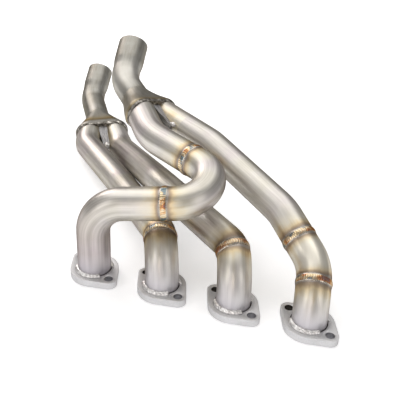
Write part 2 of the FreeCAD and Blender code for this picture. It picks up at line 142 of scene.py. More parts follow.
class Route:
    """Centreline of a bent tube: straight runs joined by tangent arcs."""

    def __init__(self, points, radii):
        self.stretches = []
        self.bends = []
        self.length = 0.0
        start = points[0]
        for k in range(1, len(points) - 1):
            before = (points[k] - points[k - 1]).normalized()
            after = (points[k + 1] - points[k]).normalized()
            reach = tangent_length(before, after, radii[k - 1])
            enter = points[k] - before * reach
            self.add(start, before, (enter - start).length, None, 0)
            inward = (after - before * before.dot(after)).normalized()
            first = self.length
            self.add(enter, before, radii[k - 1] * before.angle(after), inward, radii[k - 1])
            self.bends.append((first, self.length))
            start = points[k] + after * reach
        last = (points[-1] - points[-2]).normalized()
        self.add(start, last, (points[-1] - start).length, None, 0)

    def add(self, origin, direction, length, inward, radius):
        self.stretches.append((self.length, length, origin, direction, inward, radius))
        self.length += length

    def stretch(self, station):
        """The last stretch that starts at or before a station."""
        found = self.stretches[0]
        for candidate in self.stretches:
            if candidate[1] > NEGLIGIBLE and station >= candidate[0] - NEGLIGIBLE:
                found = candidate
        return found

    def step(self, station, travel):
        """Matrix that carries a ring onward by travel from a station on one stretch."""
        _, _, origin, direction, inward, radius = self.stretch(station)
        if inward is None:
            return Matrix.Translation(direction * travel)
        centre = Matrix.Translation(origin + inward * radius)
        turn = Matrix.Rotation(travel / radius, 4, direction.cross(inward))
        return centre @ turn @ centre.inverted()

    def at(self, station):
        """Point and direction of the centreline at a station."""
        first, _, origin, direction, inward, radius = self.stretch(station)
        travel = station - first
        if inward is None:
            return origin + direction * travel, direction.copy()
        angle = travel / radius
        offset = direction * (radius * math.sin(angle))
        place = origin + offset + inward * (radius * (1 - math.cos(angle)))
        return place, direction * math.cos(angle) + inward * math.sin(angle)

    def stops(self, start, end, spacing):
        """Stations for rings from start to end, none of them across the joint of two stretches."""
        marks = [start]
        for first, length, *_ in self.stretches:
            a = max(first, start)
            b = min(first + length, end)
            if b - a < NEGLIGIBLE:
                continue
            count = math.ceil((b - a) / spacing)
            marks += [a + (b - a) * k / count for k in range(1, count + 1)]
        return marks


def facing(point, direction):
    """Matrix that puts a ring drawn in XY at a point, facing a direction."""
    return Matrix.Translation(point) @ direction.to_track_quat("Z", "Y").to_matrix().to_4x4()


def open_ring(bm, matrix, radius, layer, station):
    """Draws the first ring of a tube. The layer keeps each point's place on a straight tube."""
    made = bmesh.ops.create_circle(bm, cap_ends=False, radius=radius, segments=RING_SIDES, matrix=matrix)
    ring = made["verts"]
    undo = matrix.inverted()
    for v in ring:
        flat = undo @ v.co
        v[layer] = Vector((flat.x, flat.y, station))
    return ring, [e for e in bm.edges if e.verts[0] in ring and e.verts[1] in ring]


def extend(bm, edges, layer, station):
    """Extrudes a ring of edges in place and gives the new ring its station."""
    made = bmesh.ops.extrude_edge_only(bm, edges=edges)["geom"]
    ring = [g for g in made if isinstance(g, bmesh.types.BMVert)]
    inside = set(ring)
    for v in ring:
        v[layer] = Vector((v[layer].x, v[layer].y, station))
    edges = [g for g in made if isinstance(g, bmesh.types.BMEdge) and set(g.verts) <= inside]
    return ring, edges


def thicken(bm, centres):
    """Turns the faces of an open tube away from its centreline and gives them the tube's wall, inward."""
    bmesh.ops.recalc_face_normals(bm, faces=bm.faces[:])
    bm.faces.ensure_lookup_table()
    face = bm.faces[0]
    middle = face.calc_center_median()
    nearest = min(centres, key=lambda c: (c - middle).length)
    if face.normal.dot(middle - nearest) < 0:
        bmesh.ops.reverse_faces(bm, faces=bm.faces[:])
    bmesh.ops.solidify(bm, geom=bm.faces[:], thickness=TUBE_WALL)


def new_object(name, data):
    made = bpy.data.objects.new(name, data)
    bpy.context.scene.collection.objects.link(made)
    return made


def to_piece(name, bm, sharp=SHARP_FORMED):
    """Makes the finished object from a bmesh in millimetres."""
    bmesh.ops.scale(bm, vec=(MM, MM, MM), verts=bm.verts[:])
    mesh = bpy.data.meshes.new(name)
    bm.to_mesh(mesh)
    bm.free()
    mesh.shade_smooth()
    mesh.set_sharp_from_angle(angle=math.radians(sharp))
    piece = new_object(name, mesh)
    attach(piece, "root")
    return piece


def finish_piece(piece, node, material):
    """Hides the CAD node the piece stands for, if any, and gives the piece its material."""
    if node:
        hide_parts(node)
    piece.data.materials.clear()
    piece.data.materials.append(material)
    return piece


# Colours and nodes
def colour(code):
    """Linear colour of an sRGB hex value."""
    parts = [int(code[k:k + 2], 16) / 255 for k in (0, 2, 4)]
    return tuple(c / 12.92 if c <= 0.04045 else ((c + 0.055) / 1.055) ** 2.4 for c in parts) + (1.0,)


def add_node(tree, kind, settings=None, **links):
    """Adds a node, sets its properties and sockets, and links what is given as a socket. A socket is named
    with underscores for its spaces, or by its number, as in i0."""
    made = tree.nodes.new(kind)
    for key, value in (settings or {}).items():
        setattr(made, key, value)
    for key, value in links.items():
        if key[0] == "i" and key[1:].isdigit():
            target = made.inputs[int(key[1:])]
        else:
            target = made.inputs[key.replace("_", " ")]
        if isinstance(value, bpy.types.NodeSocket):
            tree.links.new(value, target)
        else:
            target.default_value = value
    return made


def attribute(tree, name, output="Vector"):
    return add_node(tree, "ShaderNodeAttribute", {"attribute_name": name}).outputs[output]


def object_place(tree):
    return add_node(tree, "ShaderNodeTexCoord").outputs["Object"]


def stretched(tree, vector, factors):
    return add_node(tree, "ShaderNodeVectorMath", {"operation": "MULTIPLY"}, i0=vector, i1=factors).outputs[0]


def noise_at(tree, vector, scale, detail, roughness=0.5):
    made = add_node(
        tree, "ShaderNodeTexNoise", Vector=vector, Scale=scale, Detail=detail, Roughness=roughness)
    return made.outputs["Fac"]


def ramp(tree, factor, stops):
    """Colour ramp through stops of place and colour, or place and plain value."""
    made = add_node(tree, "ShaderNodeValToRGB", i0=factor)
    elements = made.color_ramp.elements
    while len(elements) < len(stops):
        elements.new(0.5)
    for element, (place, shade) in zip(elements, stops):
        element.position = place
        element.color = shade if isinstance(shade, tuple) else (shade, shade, shade, 1)
    return made.outputs["Color"]


def shades(tree, factor, *stops):
    """Colour ramp through stops of place and hex value."""
    return ramp(tree, factor, [(place, colour(code)) for place, code in stops])


def maths(tree, operation, a, b=0.0):
    return add_node(tree, "ShaderNodeMath", {"operation": operation}, i0=a, i1=b).outputs[0]


def scaled(tree, value, factor, plus):
    return maths(tree, "ADD", maths(tree, "MULTIPLY", value, factor), plus)


def share(tree, distance, reach):
    return maths(tree, "DIVIDE", distance, reach)


def mix(tree, factor, a, b, blend="MIX"):
    settings = {"data_type": "RGBA", "blend_type": blend}
    return add_node(tree, "ShaderNodeMix", settings, i0=factor, i6=a, i7=b).outputs[2]


def metal(name, metallic=1.0):
    """Material with a Principled shader set to metal, its grazing reflections toned down a little."""
    material = bpy.data.materials.new(name)
    material.use_nodes = True
    tree = material.node_tree
    shader = tree.nodes["Principled BSDF"]
    shader.inputs["Metallic"].default_value = metallic
    shader.inputs["Specular Tint"].default_value = colour("857e75")
    return material, tree, shader


def wire(tree, shader, body, rough):
    tree.links.new(body, shader.inputs["Base Color"])
    tree.links.new(rough, shader.inputs["Roughness"])


def add_bump(tree, shader, height, strength, distance):
    """Bump of this height map; the distance is in metres."""
    bump = add_node(tree, "ShaderNodeBump", Strength=strength, Distance=distance, Height=height)
    tree.links.new(bump.outputs[0], shader.inputs["Normal"])


def satin_tube(name, leg_shade="ffffff", scorch_and_shade=0.0, polish_and_highlight=0.0):
    """Mandrel-bent 304 stainless tube, belt-polished to a satin finish: broad soft reflections, faint draw
    lines along the tube, and straw to brown heat bands beside each weld. The leg shade is painted shade toned
    onto the tube's first leg, scorch and shade is how dark brown the metal beside its welds is, partly heat
    scorch and partly painted shade, and polish and highlight is how far it was polished again after welding,
    smoother and lit by a painted highlight."""
    material, tree, shader = metal(name)
    straight = attribute(tree, "unbent")
    gap = attribute(tree, "weld_gap", "Fac")
    along = add_node(tree, "ShaderNodeSeparateXYZ", i0=straight).outputs[2]
    cloud = noise_at(tree, straight, 0.022, 3.0)
    streaks = noise_at(tree, stretched(tree, straight, (0.22, 0.22, 0.006)), 1.0, 4.0, 0.6)
    lines = noise_at(tree, stretched(tree, straight, (0.10, 0.10, 1.3)), 1.0, 3.0, 0.6)
    body = shades(tree, cloud, (0.36, "c9c5b9"), (0.5, "d1cdc9"), (0.62, "cbc2c6"))
    body = mix(tree, 0.55, body, shades(tree, streaks, (0.36, "aeaaa2"), (0.64, "ebe8e1")))
    # Painted shade: the given tones darken and cool the first leg, where the tube lies in shade
    leg = ramp(tree, share(tree, along, LEG_HEIGHT), [(0.40, 1.0), (0.75, 0.0)])
    body = mix(tree, leg, body, mix(tree, 1.0, body, colour(leg_shade), "MULTIPLY"))
    # Heat bands follow the distance from the weld, uneven as real ones are, and drip along the draw lines
    ragged = noise_at(tree, straight, 0.07, 2.0)
    reach = maths(tree, "MULTIPLY", gap, scaled(tree, ragged, 0.9, 0.55))
    dripping = ramp(tree, share(tree, gap, DRIP_REACH), [(0.35, 0.0), (0.9, 1.0)])
    drips = scaled(tree, streaks, 1.2, 0.4)
    reach = mix(tree, dripping, reach, maths(tree, "MULTIPLY", reach, drips))
    reach = share(tree, reach, TUBE_HEAT_REACH)
    tint = shades(
        tree, reach, (0.105, "a59e98"), (0.125, "9a8877"), (0.165, "b09879"), (0.22, "dfc99c"),
        (0.36, "eee6ce"), (0.75, "e6e1d6"))
    strength = ramp(tree, reach, [(0.10, 0.9), (0.20, 0.8), (0.38, 0.5), (0.85, 0.0)])
    body = mix(tree, strength, body, tint)
    beside = share(tree, gap, WELD_SIDE_REACH)
    # Painted highlight: away from its welds a polished tube is painted lighter, as if lit; its roughness is
    # lowered too
    if polish_and_highlight:
        body = mix(tree, ramp(tree, beside, [(0.25, 0.0), (0.6, polish_and_highlight)]), body, colour("f8f3e6"))
    # Heat scorch and painted shade: beside its welds the metal is painted dark brown, for the scorch and for
    # the shade that falls there
    body = mix(tree, ramp(tree, beside, [(0.25, scorch_and_shade), (0.9, 0.0)]), body, colour("63574a"))
    # The foot of each tube is blasted with its flange, so it is cooler and duller there
    foot = ramp(tree, share(tree, along, FOOT_HEIGHT), [(0.12, 1.0), (0.65, 0.0)])
    body = mix(tree, maths(tree, "MULTIPLY", foot, 0.75), body, colour("cfcdd6"))
    rough = scaled(tree, streaks, 0.16, 0.33 - 0.08 * polish_and_highlight)
    rough = maths(tree, "ADD", rough, maths(tree, "MULTIPLY", foot, 0.10))
    wire(tree, shader, body, rough)
    add_bump(tree, shader, maths(tree, "ADD", maths(tree, "MULTIPLY", lines, 0.5), streaks), 0.15, 0.00005)
    return material


def formed_sheet(name, bend_highlight=0.0):
    """Collector and outlet: 304 sheet and pipe, formed and brushed by hand, greyer than the tube, with straw
    and brown heat bands behind the mouth. The bend highlight is how far the outlet's bend is lightened by a
    painted highlight."""
    material, tree, shader = metal(name)
    straight = attribute(tree, "unbent")
    gap = attribute(tree, "weld_gap", "Fac")
    lines = noise_at(tree, stretched(tree, straight, (0.4, 0.4, 0.03)), 1.0, 5.0, 0.65)
    cloud = noise_at(tree, straight, 0.05, 3.0)
    body = shades(tree, lines, (0.33, "908d85"), (0.67, "b2b0aa"))
    body = mix(tree, 0.5, body, shades(tree, cloud, (0.35, "938f84"), (0.65, "afaea9")))
    # Painted highlight: the outlet's bend is painted lighter where the highlight falls
    bend = [(0.22, 0.0), (0.36, bend_highlight), (0.48, bend_highlight), (0.60, 0.0)]
    body = mix(tree, ramp(tree, share(tree, gap, OUTLET_REACH), bend), body, colour("e4e2dc"))
    reach = maths(tree, "MULTIPLY", gap, scaled(tree, cloud, 0.5, 0.75))
    reach = share(tree, reach, SHEET_HEAT_REACH)
    tint = shades(
        tree, reach, (0.08, "9a9791"), (0.18, "857c6f"), (0.28, "86734f"), (0.40, "a39068"),
        (0.55, "a89d87"), (0.8, "aca8a0"))
    strength = ramp(tree, reach, [(0.06, 0.2), (0.16, 0.5), (0.28, 0.9), (0.45, 0.6), (0.8, 0.0)])
    body = mix(tree, strength, body, tint)
    wire(tree, shader, body, scaled(tree, lines, 0.14, 0.36))
    add_bump(tree, shader, lines, 0.15, 0.00006)
    return material


def cut_plate():
    """Flanges: 10 mm stainless plate, cut and bead-blasted, so it is matt, pale and slightly cool."""
    material, tree, shader = metal("stainless_plate_cut_blasted", 0.85)
    place = object_place(tree)
    grain = noise_at(tree, place, 700.0, 3.0)
    cloud = noise_at(tree, place, 45.0, 4.0)
    body = shades(tree, cloud, (0.35, "d8d8d9"), (0.65, "e4e4e6"))
    body = mix(tree, 0.25, body, shades(tree, grain, (0.35, "c6c6c8"), (0.65, "eeeef0")))
    wire(tree, shader, body, scaled(tree, grain, 0.12, 0.54))
    add_bump(tree, shader, grain, 0.25, 0.00008)
    return material


def brushed_bar():
    """Fillers between the tubes: narrow bar dressed with a file along its length, a neutral grey."""
    material, tree, shader = metal("stainless_bar_filed_lengthwise", 0.8)
    lines = noise_at(tree, stretched(tree, attribute(tree, "unbent"), (0.55, 0.2, 0.03)), 1.0, 3.0, 0.7)
    body = shades(tree, lines, (0.36, "868483"), (0.5, "a9a8aa"), (0.64, "cbc9c6"))
    wire(tree, shader, body, scaled(tree, lines, 0.15, 0.5))
    add_bump(tree, shader, lines, 0.5, 0.0002)
    return material


def rippled_weld():
    """TIG butt weld in stainless: overlapping dabs from cream to copper with blue-grey patches, a silver
    margin where the gas kept it bright, and brown borders where it ran hot. The bead attribute holds
    side, crest and depth of colour."""
    material, tree, shader = metal("stainless_tig_weld_heat_coloured")
    edge, crest, depth = add_node(tree, "ShaderNodeSeparateXYZ", i0=attribute(tree, "bead")).outputs
    hot = noise_at(tree, object_place(tree), 85.0, 1.0)
    crown = shades(
        tree, hot, (0.30, "7f98a0"), (0.36, "a6aaa9"), (0.40, "ead6aa"), (0.48, "f5e8cc"),
        (0.55, "e2b27c"), (0.62, "bc7e5a"), (0.72, "a88a88"))
    body = mix(tree, depth, colour("9a8678"), crown)
    # Each dab is brightest in its middle and darker round its own edge
    rim = maths(tree, "MULTIPLY", maths(tree, "SUBTRACT", 1.0, crest), 0.55)
    body = mix(tree, rim, body, colour("8a5f3c"))
    body = mix(tree, ramp(tree, edge, [(0.64, 0.0), (0.76, 1.0)]), body, colour("bbb6ac"))
    brown = mix(tree, hot, colour("8d7c70"), colour("ab9c86"))
    body = mix(tree, ramp(tree, edge, [(0.87, 0.0), (0.99, 1.0)]), body, brown)
    wire(tree, shader, body, scaled(tree, crest, -0.10, 0.36))
    return material


def silver_weld():
    """Fillet welds on the flanges: blasted clean with them, silver-white with a satin skin."""
    material, tree, shader = metal("stainless_weld_blasted_silver")
    lumps = noise_at(tree, object_place(tree), 260.0, 3.0)
    body = shades(tree, lumps, (0.35, "d0cecd"), (0.58, "fbfaf9"))
    wire(tree, shader, body, scaled(tree, lumps, 0.2, 0.24))
    add_bump(tree, shader, lumps, 0.4, 0.0002)
    return material


def crumpled_weld():
    """Weld round a collector mouth, made in short runs: grey with bright cream spots and brown hollows."""
    material, tree, shader = metal("stainless_weld_short_runs")
    lumps = noise_at(tree, object_place(tree), 160.0, 3.0, 0.6)
    body = shades(tree, lumps, (0.34, "4f4a44"), (0.46, "7c7872"), (0.58, "9e9a93"), (0.68, "f3efe6"))
    wire(tree, shader, body, scaled(tree, lumps, 0.2, 0.28))
    add_bump(tree, shader, lumps, 0.8, 0.0006)
    return material


def painted_shade_wall(name, dark, light):
    """Painted shade on walls deep in recesses: drilled bolt holes, and the open part of the socket's edge."""
    material, tree, shader = metal(name)
    marks = noise_at(tree, stretched(tree, object_place(tree), (60, 60, 1500)), 1.0, 2.0)
    body = shades(tree, marks, (0.35, dark), (0.65, light))
    wire(tree, shader, body, scaled(tree, marks, 0.2, 0.45))
    return material


TUBE = satin_tube("stainless_304_tube_satin_polished")
# Tube 1's first leg gets a darker, mauve copy of the tube: painted shade
LEG_SHADED_TUBE = satin_tube("stainless_304_tube_satin_painted_shade", leg_shade="e8e3e8")
# Tube 2's elbow and tube 3's run carry heat scorch and painted shade beside their welds
SCORCHED_SHADED_TUBE = satin_tube("stainless_304_tube_satin_scorched_painted_shade", scorch_and_shade=0.65)
# Tube 4's link gets a painted highlight and a smoother finish
POLISHED_HIGHLIGHTED_TUBE = satin_tube("stainless_304_tube_satin_polished_painted_highlight", polish_and_highlight=0.8)
TUBE_FINISH = {
    "primary_1_elbow": LEG_SHADED_TUBE,
    "primary_2_elbow": SCORCHED_SHADED_TUBE,
    "primary_3_run": SCORCHED_SHADED_TUBE,
    "primary_4_link": POLISHED_HIGHLIGHTED_TUBE}
SHEET = formed_sheet("stainless_304_sheet_formed_brushed")
HIGHLIGHTED_SHEET = formed_sheet("stainless_304_sheet_formed_painted_highlight_bend", bend_highlight=0.55)
PLATE = cut_plate()
RIPPLED = rippled_weld()
SILVER = silver_weld()
CRUMPLED = crumpled_weld()
BAR = brushed_bar()
# Darker walls in the bolt holes and the socket's gap: painted shade
DRILLED = painted_shade_wall("stainless_drilled_painted_shade", "8a898c", "b4b3b8")
SOCKET = painted_shade_wall("stainless_bored_painted_shade", "3a3733", "5c5751")


# Mouths and centrelines
class Mouth:
    """Frame of a collector mouth: its centre, its axis and the line from tube to tube."""

    def __init__(self, centre, azimuth, climb, roll):
        self.centre = Vector(centre)
        self.axis = heading(azimuth, climb)
        level = self.axis.cross(UP).normalized()
        raised = level.cross(self.axis)
        angle = math.radians(roll)
        self.across = level * math.cos(angle) + raised * math.sin(angle)
        self.top = self.across.cross(self.axis)
        self.left = self.centre - self.across * MOUTH_HALF_SPACING
        self.right = self.centre + self.across * MOUTH_HALF_SPACING

    def matrix(self):
        """Takes X to the left, Y to the top and Z along the axis."""
        turned_frame = Matrix((-self.across, self.top, self.axis)).transposed().to_4x4()
        return Matrix.Translation(self.centre) @ turned_frame


def leaning_start(port_x, leg, azimuth, climb, lean, next_radius, following):
    """First two corners of a tube that leans over close to its flange."""
    direction = heading(azimuth, climb)
    reach = tangent_length(UP, direction, TIGHT_BEND)
    first = Vector((port_x, 0, FLANGE_THICKNESS + leg + reach))
    second = first + direction * (reach + lean)
    for _ in range(LEAN_ROUNDS):
        after = (following - second).normalized()
        second = first + direction * (reach + lean + tangent_length(direction, after, next_radius))
    return first, second


def past_mouth(entry, end):
    return end + (end - entry).normalized() * TUBE_RADIUS


left_mouth = Mouth((-164.0, 349.0, 32.0), azimuth=-36.7, climb=11.4, roll=0.0)
right_mouth = Mouth((-9.0, 207.0, 147.0), azimuth=-62.4, climb=9.1, roll=-14.6)
ports = [k * PORT_SPACING for k in range(4)]
ledge = [Vector((x, 0, SOCKET_LEDGE)) for x in ports]

P1_WELD_BEFORE_TURN = 9.0
P1_WELD_AFTER_TURN = 15.0
p1_rise = Vector((0, 0, 104.0))
p1_turn = Vector((203.0, 53.0, 124.0))
p1_entry = Vector((18.0, 143.0, 141.0))
route_1 = Route(
    [ledge[0], p1_rise, p1_turn, p1_entry, past_mouth(p1_entry, right_mouth.left)],
    [TIGHT_BEND, TIGHT_BEND, EASY_BEND])

# The heights of tubes 2 and 3 are those of their undersides
P2_LEAN = 5.0
p2_sweep = Vector((-49.0, 183.0, TUBE_RADIUS + 12.8))
p2_entry = Vector((-169.0, 301.0, TUBE_RADIUS + 6.3))
p2_first, p2_second = leaning_start(
    ports[1], leg=1.6, azimuth=-26.1, climb=8.5, lean=P2_LEAN, next_radius=TIGHT_BEND, following=p2_sweep)
route_2 = Route(
    [ledge[1], p2_first, p2_second, p2_sweep, p2_entry, past_mouth(p2_entry, left_mouth.left)],
    [TIGHT_BEND, TIGHT_BEND, SWEPT_BEND, CLOSE_BEND])

P3_LEAN = 7.5
P3_WELD_INTO_BEND = 12.5
p3_sweep = Vector((40.0, 131.0, TUBE_RADIUS + 55.5))
p3_entry = Vector((-116.5, 328.5, TUBE_RADIUS - 1.8))
p3_first, p3_second = leaning_start(
    ports[2], leg=4.4, azimuth=-20.5, climb=32.2, lean=P3_LEAN, next_radius=TIGHT_BEND, following=p3_sweep)
route_3 = Route(
    [ledge[2], p3_first, p3_second, p3_sweep, p3_entry, past_mouth(p3_entry, left_mouth.right)],
    [TIGHT_BEND, TIGHT_BEND, SWEPT_BEND, CLOSE_BEND])

P4_LEAN = 8.0
P4_WELD_AFTER_BEND = 20.0
p4_ease = Vector((219.0, 92.0, 97.0))
p4_entry = Vector((93.0, 177.0, 130.0))
p4_first, p4_second = leaning_start(
    ports[3], leg=0.5, azimuth=-9.8, climb=33.0, lean=P4_LEAN, next_radius=CLOSE_BEND, following=p4_ease)
route_4 = Route(
    [ledge[3], p4_first, p4_second, p4_ease, p4_entry, past_mouth(p4_entry, right_mouth.right)],
    [TIGHT_BEND, CLOSE_BEND, EASY_BEND, SWEPT_BEND])

# For each tube: its centreline, its welds' stations on it, its segments, and its mouth and side there
routes = {1: route_1, 2: route_2, 3: route_3, 4: route_4}
stations = {
    1: [route_1.bends[1][0] - P1_WELD_BEFORE_TURN, route_1.bends[1][1] + P1_WELD_AFTER_TURN],
    2: [route_2.bends[0][1] + P2_LEAN / 2],
    3: [route_3.bends[1][0] + P3_WELD_INTO_BEND],
    4: [route_4.bends[0][1] + P4_LEAN / 2, route_4.bends[1][1] + P4_WELD_AFTER_BEND]}
names = {1: ["elbow", "u_bend", "run"], 2: ["elbow", "run"], 3: ["elbow", "run"], 4: ["elbow", "link", "run"]}
mouths = {1: (right_mouth, 1), 2: (left_mouth, 1), 3: (left_mouth, -1), 4: (right_mouth, -1)}


# Tubes and butt welds
def mark_gap(bm, layer, welds, mouth):
    """Stores at each vertex how far the nearest weld is: along the tube, or aside to a filler bar."""
    gaps = bm.verts.layers.float.new("weld_gap")
    undo = mouth.matrix().inverted()
    for v in bm.verts:
        v[gaps] = min(abs(v[layer].z - w) for w in welds)
        local = undo @ v.co
        if -FILLER_LENGTH - 12 < local.z < 0 and abs(local.x) < 2 * TUBE_RADIUS:
            aside = max(0.0, abs(local.x) - FILLER_WIDTH / 2 - 2)
            before = max(0.0, -local.z - 30)
            v[gaps] = min(v[gaps], FILLER_HEAT_GAP + 1.6 * aside + 0.3 * before)


def tube_piece(name, route, start, end, welds, mouth, trims):
    """Tube along a route from start to end. Each trim is a plane's point and normal, and its reach."""
    bm = bmesh.new()
    layer = bm.verts.layers.float_vector.new("unbent")
    marks = route.stops(start, end, RING_SPACING)
    ring, edges = open_ring(bm, facing(*route.at(start)), TUBE_RADIUS, layer, start)
    for before, after in zip(marks, marks[1:]):
        ring, edges = extend(bm, edges, layer, after)
        bmesh.ops.transform(bm, matrix=route.step(before, after - before), verts=ring)
    for place, normal, reach in trims:
        near = [f for f in bm.faces if (f.calc_center_median() - place).length < reach]
        parts = {part for f in near for part in (*f.verts, *f.edges)}
        bmesh.ops.bisect_plane(bm, geom=list(parts) + near, plane_co=place, plane_no=normal, clear_outer=True)
    mark_gap(bm, layer, welds, mouth)
    thicken(bm, [route.at(s)[0] for s in marks])
    return to_piece(name, bm)


def butt_weld(name, route, station, seed, depth):
    """Bead spun round the joint of two tubes, then raised into overlapping ripples. Depth is that of its
    colours."""
    bm = bmesh.new()
    layer = bm.verts.layers.float_vector.new("bead")
    half = BEAD_WIDTH / 2
    row = [bm.verts.new((TUBE_RADIUS - BEAD_SINK, 0, -half - BEAD_SINK))]
    for k in range(BEAD_DIVISIONS + 1):
        row.append(bm.verts.new((TUBE_RADIUS, 0, half * (2 * k / BEAD_DIVISIONS - 1))))
    row.append(bm.verts.new((TUBE_RADIUS - BEAD_SINK, 0, half + BEAD_SINK)))
    edges = [bm.edges.new(pair) for pair in zip(row, row[1:])]
    bmesh.ops.spin(
        bm, geom=row + edges, cent=(0, 0, 0), axis=(0, 0, 1), angle=2 * math.pi,
        steps=RIPPLES * STEPS_PER_RIPPLE, use_merge=True)
    bmesh.ops.remove_doubles(bm, verts=bm.verts[:], dist=0.001)
    bmesh.ops.recalc_face_normals(bm, faces=bm.faces[:])
    for v in bm.verts:
        angle = math.atan2(v.co.y, v.co.x)
        side = clamp(v.co.z / half, -1.0)
        wander = noise.noise(Vector((math.cos(angle), math.sin(angle), seed)) * 2.2)
        phase = (angle / (2 * math.pi) * RIPPLES + 0.55 * side * side + 0.6 * wander) % 1.0
        crest = 1 - abs(2 * phase - 1) ** 1.5
        arch = max(0.0, 1 - side * side)
        rise = BEAD_HEIGHT * arch * (0.62 + 0.30 * crest + 0.25 * wander)
        radius = math.hypot(v.co.x, v.co.y) + rise
        v.co.x = radius * math.cos(angle)
        v.co.y = radius * math.sin(angle)
        v.co.z *= 1 + 0.06 * crest * abs(side) + 0.08 * wander
        v[layer] = Vector((abs(side), crest, depth))
    bmesh.ops.transform(bm, matrix=facing(*route.at(station)), verts=bm.verts[:])
    return to_piece(name, bm, SHARP_BEAD)


for number, route in routes.items():
    cuts = [0.0] + stations[number] + [route.length]
    mouth, side = mouths[number]
    seam = mouth.across * side
    for k, name in enumerate(names[number]):
        start = cuts[k] + (ROOT_GAP / 2 if k else 0.0)
        end = cuts[k + 1] - (ROOT_GAP / 2 if k + 1 < len(names[number]) else 0.0)
        trims = []
        if name == "run":
            trims = [(mouth.centre + mouth.axis * TUBE_INSERTION, mouth.axis, END_TRIM_REACH),
                     (mouth.centre - seam * TUBE_SEAM_GAP / 2, seam, SEAM_TRIM_REACH)]
        node_name = "primary_%d_%s" % (number, name)
        piece = tube_piece("shown_" + node_name, route, start, end, stations[number], mouth, trims)
        finish_piece(piece, node_name, TUBE_FINISH.get(node_name, TUBE))
    for k, station in enumerate(stations[number]):
        node_name = "primary_%d_weld_%d" % (number, k + 1)
        piece = butt_weld("shown_" + node_name, route, station, number * 10.0 + k, WELD_COLOUR[number])
        finish_piece(piece, node_name, RIPPLED)


# Collectors and outlets
leave = heading(OUTLET_HEADING, OUTLET_CLIMB)


def turned(axis, toward, angle, length):
    """Offset and direction at the end of an arc of this length that turns axis toward another direction."""
    inward = (toward - axis * axis.dot(toward)).normalized()
    radius = length / angle
    offset = axis * (radius * math.sin(angle)) + inward * (radius * (1 - math.cos(angle)))
    return offset, axis * math.cos(angle) + inward * math.sin(angle)


def to_slot(ring, undo, half, radius):
    """Moves a ring's vertices onto the outline round two circles side by side, in the ring's own plane."""
    quarter = math.pi * radius / 2
    perimeter = 4 * (quarter + half)
    redo = undo.inverted()
    for v in ring:
        flat = undo @ v.co
        travel = math.atan2(flat.y, abs(flat.x)) / (2 * math.pi) * perimeter
        side = 1 if flat.x >= 0 else -1
        if abs(travel) <= quarter:
            x = half + radius * math.cos(travel / radius)
            y = radius * math.sin(travel / radius)
        else:
            x = half - (abs(travel) - quarter)
            y = math.copysign(radius, travel)
        v.co = redo @ Vector((side * x, y, flat.z))


def mark_from_mouth(bm, layer, further):
    """Stores at each vertex its distance from where its station starts, and as much further as is given."""
    gaps = bm.verts.layers.float.new("weld_gap")
    for v in bm.verts:
        v[gaps] = v[layer].z + further


def collector_piece(name, mouth, turn, cool):
    """Collector from its oval mouth to its round neck, which leans by turn toward the outlet's direction."""
    bm = bmesh.new()
    layer = bm.verts.layers.float_vector.new("unbent")
    half = MOUTH_HALF_SPACING + MOUTH_EASE
    wide = TUBE_RADIUS + MOUTH_CLEARANCE + TUBE_WALL
    taper = COLLECTOR_LENGTH - MOUTH_DEPTH
    toward = Vector((-leave.dot(mouth.across), leave.dot(mouth.top), leave.dot(mouth.axis)))
    stages = [(0.0, 0.0), (MOUTH_DEPTH / 2, 0.0), (MOUTH_DEPTH, 0.0)]
    for k in range(1, COLLECTOR_STEPS + 1):
        stages.append((MOUTH_DEPTH + taper * k / COLLECTOR_STEPS, k / COLLECTOR_STEPS))
    centres = []
    edges = None
    for station, t in stages:
        local = Matrix.Translation((0, 0, station))
        if t:
            move, direction = turned(UP, toward, turn * t, taper * t)
            swing = UP.rotation_difference(direction).to_matrix().to_4x4()
            local = Matrix.Translation(move + Vector((0, 0, MOUTH_DEPTH))) @ swing
        blend = 1 - (1 - t) ** TAPER_POWER
        if edges is None:
            ring, edges = open_ring(bm, local, wide, layer, station)
        else:
            ring, edges = extend(bm, edges, layer, station)
            for v in ring:
                angle = math.atan2(v[layer].y, v[layer].x)
                v.co = local @ Vector((wide * math.cos(angle), wide * math.sin(angle), 0))
        to_slot(ring, local.inverted(), half * (1 - blend), wide + (TUBE_RADIUS - wide) * blend)
        centres.append(local.translation.copy())
    mark_from_mouth(bm, layer, cool)
    thicken(bm, centres)
    bmesh.ops.transform(bm, matrix=mouth.matrix(), verts=bm.verts[:])
    return to_piece(name, bm)


